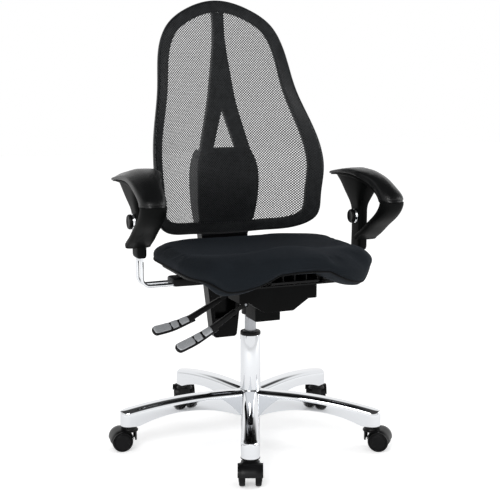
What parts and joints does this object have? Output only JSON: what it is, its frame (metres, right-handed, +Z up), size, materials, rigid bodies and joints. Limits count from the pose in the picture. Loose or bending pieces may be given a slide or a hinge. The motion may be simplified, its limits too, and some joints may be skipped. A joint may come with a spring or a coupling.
{
  "type": "swivel office chair",
  "caption": "Swivel office chair on a castor base with a mesh back, a padded seat with a waved front edge, adjustable armrests and levers under the seat.",
  "frame": {"origin": "on the floor under the seat's swivel axis, at rest with the seat at its lowest", "axes": "+Z up, the sitter faces -Y, the sitter's right hand is at -X"},
  "size_m": [0.6855, 0.6944, 1.083],
  "materials": {
    "caster_plastic": "satin",
    "wheel_plastic": "matte",
    "steel": "satin",
    "chrome": "polished",
    "collar_plastic": "satin",
    "grey_steel": "polished",
    "black_steel": "satin",
    "grey_plastic": "satin",
    "grip_plastic": "satin",
    "shell_plastic": "matte",
    "frame_plastic": "satin",
    "mesh_fabric": "matte",
    "lumbar_foam": "matte",
    "seat_fabric": "matte",
    "arm_plastic": "satin",
    "arm_pad": "matte"
  },
  "bodies": {
    "base": {"star_base": "chrome", "column_tube": "chrome", "column_collar": "collar_plastic", "thrust_bearing": "steel", "caster_stems": "steel"},
    "swivel": {"piston_rod": "steel", "retaining_clip": "steel"},
    "mechanism": {"gas_cylinder": "grey_steel", "mechanism_housing": "black_steel", "mechanism_cover": "grey_plastic", "pivot_shafts": "steel"},
    "lift_lever": {"lift_lever_arm": "black_steel", "lift_lever_handle": "grip_plastic", "lift_lever_inlay": "chrome"},
    "release_pin": {"release_pin": "steel"},
    "tilt_lever": {"tilt_lever_arm": "black_steel", "tilt_lever_handle": "grip_plastic", "tilt_lever_inlay": "chrome"},
    "back_carrier": {"back_bar": "black_steel"},
    "backrest": {"back_sleeve": "grey_plastic", "back_spine": "grey_plastic", "lumbar_pad": "lumbar_foam", "back_frame": "frame_plastic", "back_mesh": "mesh_fabric"},
    "seat": {"seat_plate": "black_steel", "seat_shell": "shell_plastic", "seat_screws": "steel", "seat_cushion": "seat_fabric", "armrest_clamps": "grip_plastic"},
    "caster_1": {"caster_hood_1": "caster_plastic", "caster_axle_1": "steel"},
    "wheel_1a": {"caster_wheel_1a": "wheel_plastic"},
    "wheel_1b": {"caster_wheel_1b": "wheel_plastic"},
    "caster_2": {"caster_hood_2": "caster_plastic", "caster_axle_2": "steel"},
    "wheel_2a": {"caster_wheel_2a": "wheel_plastic"},
    "wheel_2b": {"caster_wheel_2b": "wheel_plastic"},
    "caster_3": {"caster_hood_3": "caster_plastic", "caster_axle_3": "steel"},
    "wheel_3a": {"caster_wheel_3a": "wheel_plastic"},
    "wheel_3b": {"caster_wheel_3b": "wheel_plastic"},
    "caster_4": {"caster_hood_4": "caster_plastic", "caster_axle_4": "steel"},
    "wheel_4a": {"caster_wheel_4a": "wheel_plastic"},
    "wheel_4b": {"caster_wheel_4b": "wheel_plastic"},
    "caster_5": {"caster_hood_5": "caster_plastic", "caster_axle_5": "steel"},
    "wheel_5a": {"caster_wheel_5a": "wheel_plastic"},
    "wheel_5b": {"caster_wheel_5b": "wheel_plastic"},
    "armrest_support_left": {"armrest_rods_left": "chrome"},
    "armrest_left": {"armrest_moulding_left": "arm_plastic", "armrest_pad_left": "arm_pad"},
    "armrest_knob_left": {"armrest_knob_left": "grip_plastic"},
    "armrest_support_right": {"armrest_rods_right": "chrome"},
    "armrest_right": {"armrest_moulding_right": "arm_plastic", "armrest_pad_right": "arm_pad"},
    "armrest_knob_right": {"armrest_knob_right": "grip_plastic"}
  },
  "joints": [
    {"name": "caster_swivel_1", "type": "hinge", "parent": "base", "child": "caster_1", "pos_m": [-0.11825, -0.28548, 0.045], "axis": [0, 0, 1], "continuous": true},
    {"name": "wheel_spin_1a", "type": "hinge", "parent": "caster_1", "child": "wheel_1a", "pos_m": [-0.1259, -0.30396, 0.025], "axis": [0.9239, -0.3827, 0], "continuous": true},
    {"name": "wheel_spin_1b", "type": "hinge", "parent": "caster_1", "child": "wheel_1b", "pos_m": [-0.1259, -0.30396, 0.025], "axis": [0.9239, -0.3827, 0], "continuous": true},
    {"name": "caster_swivel_2", "type": "hinge", "parent": "base", "child": "caster_2", "pos_m": [0.23497, -0.20068, 0.045], "axis": [0, 0, 1], "continuous": true},
    {"name": "wheel_spin_2a", "type": "hinge", "parent": "caster_2", "child": "wheel_2a", "pos_m": [0.25017, -0.21367, 0.025], "axis": [0.6494, 0.7604, 0], "continuous": true},
    {"name": "wheel_spin_2b", "type": "hinge", "parent": "caster_2", "child": "wheel_2b", "pos_m": [0.25017, -0.21367, 0.025], "axis": [0.6494, 0.7604, 0], "continuous": true},
    {"name": "caster_swivel_3", "type": "hinge", "parent": "base", "child": "caster_3", "pos_m": [0.26347, 0.16145, 0.045], "axis": [0, 0, 1], "continuous": true},
    {"name": "wheel_spin_3a", "type": "hinge", "parent": "caster_3", "child": "wheel_3a", "pos_m": [0.27112, 0.17993, 0.025], "axis": [-0.9239, 0.3827, 0], "continuous": true},
    {"name": "wheel_spin_3b", "type": "hinge", "parent": "caster_3", "child": "wheel_3b", "pos_m": [0.27112, 0.17993, 0.025], "axis": [-0.9239, 0.3827, 0], "continuous": true},
    {"name": "caster_swivel_4", "type": "hinge", "parent": "base", "child": "caster_4", "pos_m": [-0.07213, 0.30046, 0.045], "axis": [0, 0, 1], "continuous": true},
    {"name": "wheel_spin_4a", "type": "hinge", "parent": "caster_4", "child": "wheel_4a", "pos_m": [-0.06781, 0.31999, 0.025], "axis": [-0.9763, 0.2164, 0], "continuous": true},
    {"name": "wheel_spin_4b", "type": "hinge", "parent": "caster_4", "child": "wheel_4b", "pos_m": [-0.06781, 0.31999, 0.025], "axis": [-0.9763, 0.2164, 0], "continuous": true},
    {"name": "caster_swivel_5", "type": "hinge", "parent": "base", "child": "caster_5", "pos_m": [-0.30805, 0.02424, 0.045], "axis": [0, 0, 1], "continuous": true},
    {"name": "wheel_spin_5a", "type": "hinge", "parent": "caster_5", "child": "wheel_5a", "pos_m": [-0.32799, 0.02581, 0.025], "axis": [-0.0785, -0.9969, 0], "continuous": true},
    {"name": "wheel_spin_5b", "type": "hinge", "parent": "caster_5", "child": "wheel_5b", "pos_m": [-0.32799, 0.02581, 0.025], "axis": [-0.0785, -0.9969, 0], "continuous": true},
    {"name": "seat_swivel", "type": "hinge", "parent": "base", "child": "swivel", "pos_m": [0, 0, 0.2], "axis": [0, 0, 1], "continuous": true},
    {"name": "seat_lift", "type": "slide", "parent": "swivel", "child": "mechanism", "axis": [0, 0, 1], "range_m": [0, 0.11]},
    {"name": "lift_lever_pull", "type": "hinge", "parent": "mechanism", "child": "lift_lever", "pos_m": [-0.046, 0, 0.374], "axis": [0, 1, 0], "range_deg": [0, 3.7], "stiffness_Nm_per_rad": 4, "springref_deg": -6.88},
    {"name": "release_pin_push", "type": "slide", "parent": "mechanism", "child": "release_pin", "axis": [0, 0, -1], "range_m": [0, 0.003]},
    {"name": "tilt_lever_turn", "type": "hinge", "parent": "mechanism", "child": "tilt_lever", "pos_m": [-0.046, -0.075, 0.357], "axis": [0, 1, 0], "range_deg": [0, 12]},
    {"name": "back_recline", "type": "hinge", "parent": "mechanism", "child": "back_carrier", "pos_m": [0, 0.045, 0.374], "axis": [-1, 0, 0], "range_deg": [0, 18], "stiffness_Nm_per_rad": 60, "springref_deg": -20.05},
    {"name": "back_height", "type": "slide", "parent": "back_carrier", "child": "backrest", "axis": [0, 0, 1], "range_m": [0, 0.06]},
    {"name": "seat_tilt", "type": "hinge", "parent": "mechanism", "child": "seat", "pos_m": [0, -0.1, 0.385], "axis": [-1, 0, 0], "range_deg": [0, 6]},
    {"name": "armrest_width_left", "type": "slide", "parent": "seat", "child": "armrest_support_left", "axis": [1, 0, 0], "range_m": [0, 0.03]},
    {"name": "armrest_height_left", "type": "slide", "parent": "armrest_support_left", "child": "armrest_left", "axis": [0, 0, 1], "range_m": [0, 0.07]},
    {"name": "armrest_knob_turn_left", "type": "hinge", "parent": "armrest_left", "child": "armrest_knob_left", "pos_m": [0.288, -0.022, 0.546], "axis": [-1, 0, 0], "range_deg": [0, 270]},
    {"name": "armrest_width_right", "type": "slide", "parent": "seat", "child": "armrest_support_right", "axis": [-1, 0, 0], "range_m": [0, 0.03]},
    {"name": "armrest_height_right", "type": "slide", "parent": "armrest_support_right", "child": "armrest_right", "axis": [0, 0, 1], "range_m": [-0.016, 0.054]},
    {"name": "armrest_knob_turn_right", "type": "hinge", "parent": "armrest_right", "child": "armrest_knob_right", "pos_m": [-0.288, -0.022, 0.562], "axis": [-1, 0, 0], "range_deg": [0, 270]}
  ],
  "couplings": [
    {"joint": "release_pin_push", "follows": "lift_lever_pull", "m_per_rad": 0.046},
    {"joint": "seat_tilt", "follows": "back_recline", "ratio": 0.33333}
  ]
}
